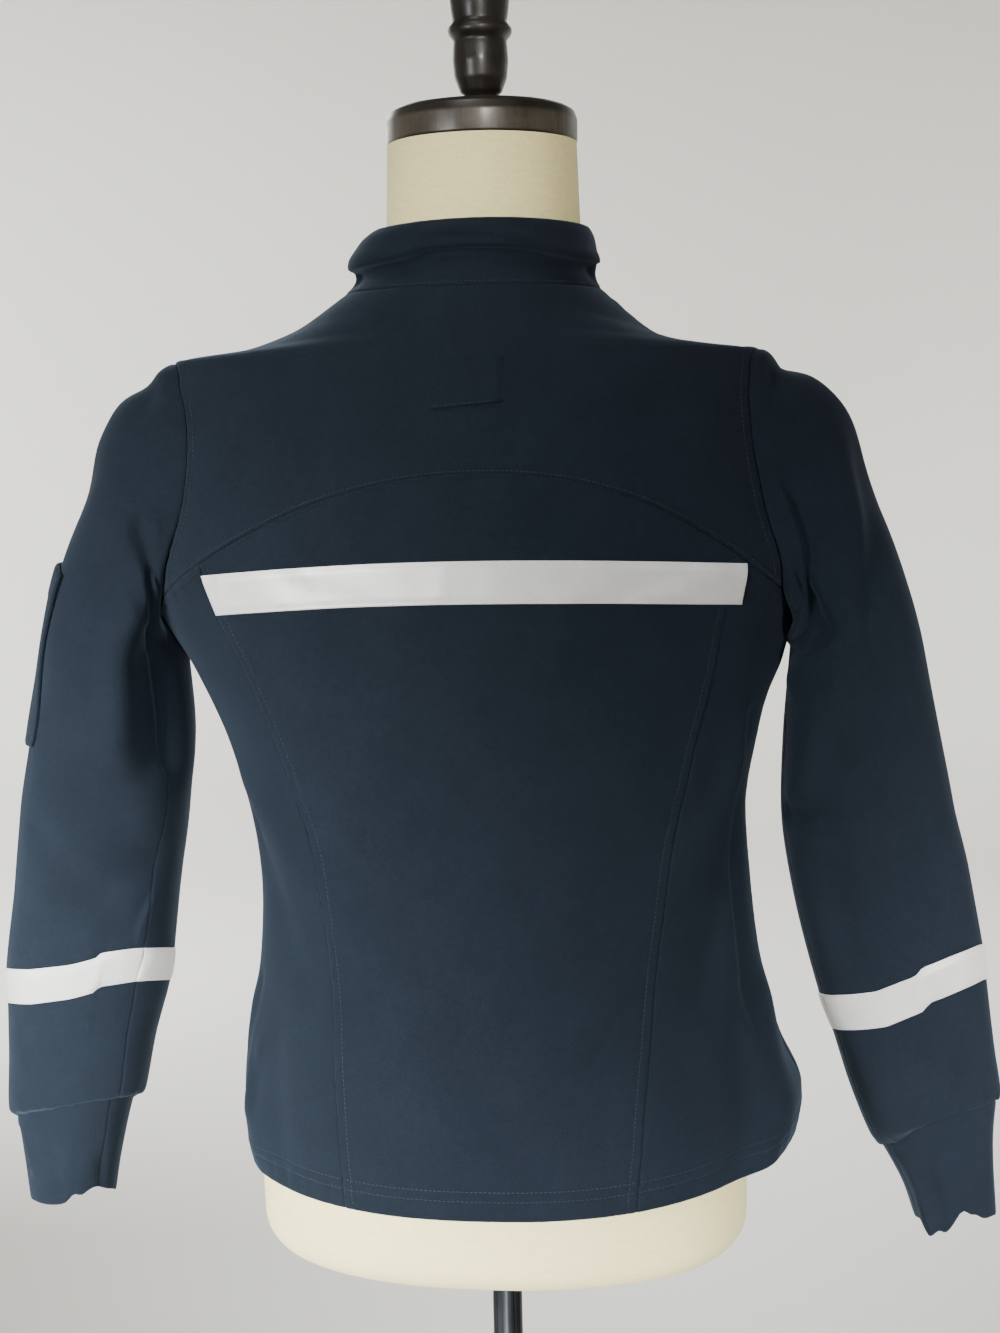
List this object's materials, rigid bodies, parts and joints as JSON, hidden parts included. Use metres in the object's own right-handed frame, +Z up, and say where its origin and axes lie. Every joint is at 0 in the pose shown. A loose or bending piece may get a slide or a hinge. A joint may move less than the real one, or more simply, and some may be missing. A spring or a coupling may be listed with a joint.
{
  "type": "flame-resistant fleece jacket on a dress form stand",
  "caption": "Fitted zip-front fleece work jacket with stand collar, reflective tape and ribbed cuffs, on a limbless dress form with a round base.",
  "frame": {"origin": "on the floor, at the centre of the stand base's underside, on the pole's axis", "axes": "+Z up along the pole, -Y towards the jacket's front, +X towards the wearer's left"},
  "size_m": [0.6863, 0.34, 1.593],
  "materials": {
    "cloth": "matt dark navy fleece",
    "tape": "silver reflective tape",
    "zip": "moulded",
    "zip_metal": "dark nickel",
    "form": "cream linen cover",
    "wood": "dark stain",
    "pole": "dark grey tube",
    "base": "satin black"
  },
  "bodies": {
    "jacket_on_form": {"back_yoke": "cloth", "back_middle": "cloth", "back_side_left": "cloth", "back_side_right": "cloth", "front_left": "cloth", "front_right": "cloth", "collar": "cloth", "sleeve_left": "cloth", "sleeve_right": "cloth", "cuff_left": "cloth", "cuff_right": "cloth", "sleeve_pocket": "cloth", "back_patch": "cloth", "back_tape": "tape", "sleeve_tape_left": "tape", "sleeve_tape_right": "tape", "zip_chain": "zip", "zip_slider": "zip_metal", "form_torso": "form", "form_cap": "wood", "form_finial": "wood", "stand_pole": "pole", "stand_base": "base"},
    "pull_tab": {"zip_pull": "zip_metal"}
  },
  "joints": [
    {"name": "pull_tab_swing", "type": "hinge", "parent": "jacket_on_form", "child": "pull_tab", "pos_m": [0, -0.07662, 1.3615], "axis": [-1, 0, 0], "range_deg": [0, 170]}
  ]
}
